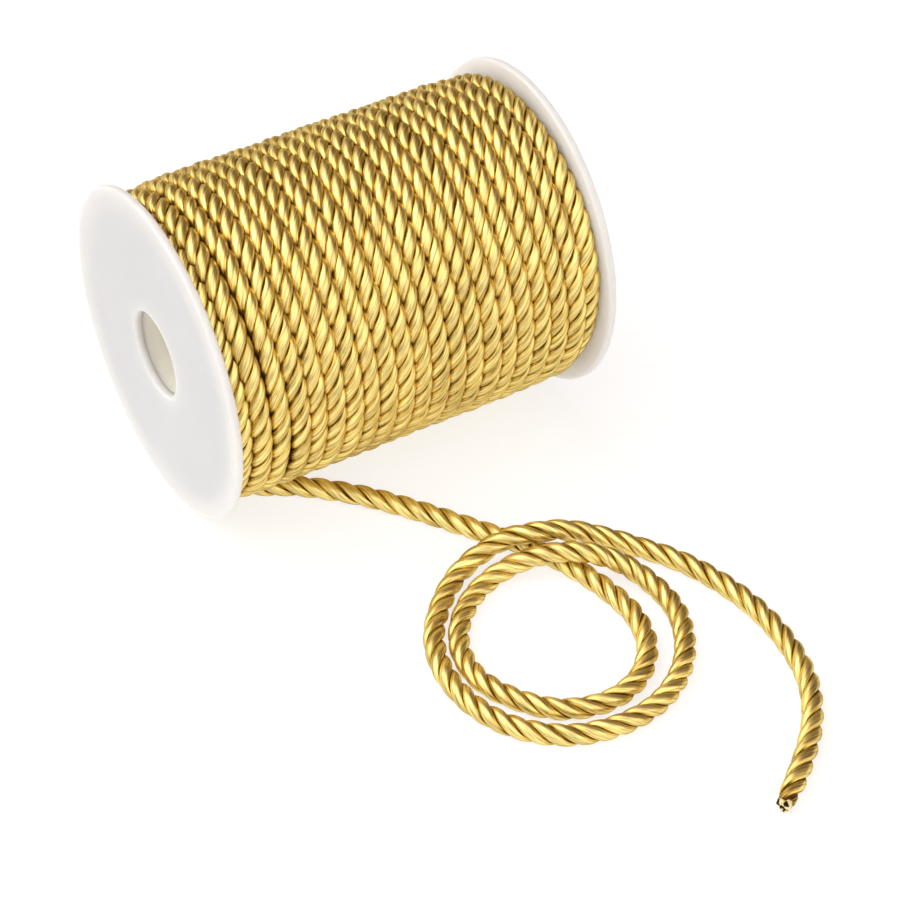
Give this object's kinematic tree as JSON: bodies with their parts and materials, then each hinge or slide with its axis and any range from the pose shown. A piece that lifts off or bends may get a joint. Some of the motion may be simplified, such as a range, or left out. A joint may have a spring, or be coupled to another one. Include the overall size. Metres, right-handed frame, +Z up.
{
  "type": "spool of twisted cord trim",
  "caption": "Spool of thick twisted cord trim lying on its side, wound in even turns between flat flanges, with a loose end that loops over itself on the surface.",
  "frame": {"origin": "on the surface that the spool rests on, straight below the middle of the spool's axis", "axes": "+X along the spool's axis, from the flange beside which the loose cord leaves to the other flange; +Z up; the loose cord lies on the -Y side"},
  "size_m": [0.0993, 0.1978, 0.0795],
  "materials": {
    "white_plastic": "smooth, softly shining white plastic",
    "gold_yarn": "satin gold filament yarn"
  },
  "bodies": {
    "root": {"flange_near": "white_plastic", "flange_far": "white_plastic", "core_tube": "white_plastic", "cord_winding": "gold_yarn", "cord_loose": "gold_yarn"}
  },
  "joints": []
}
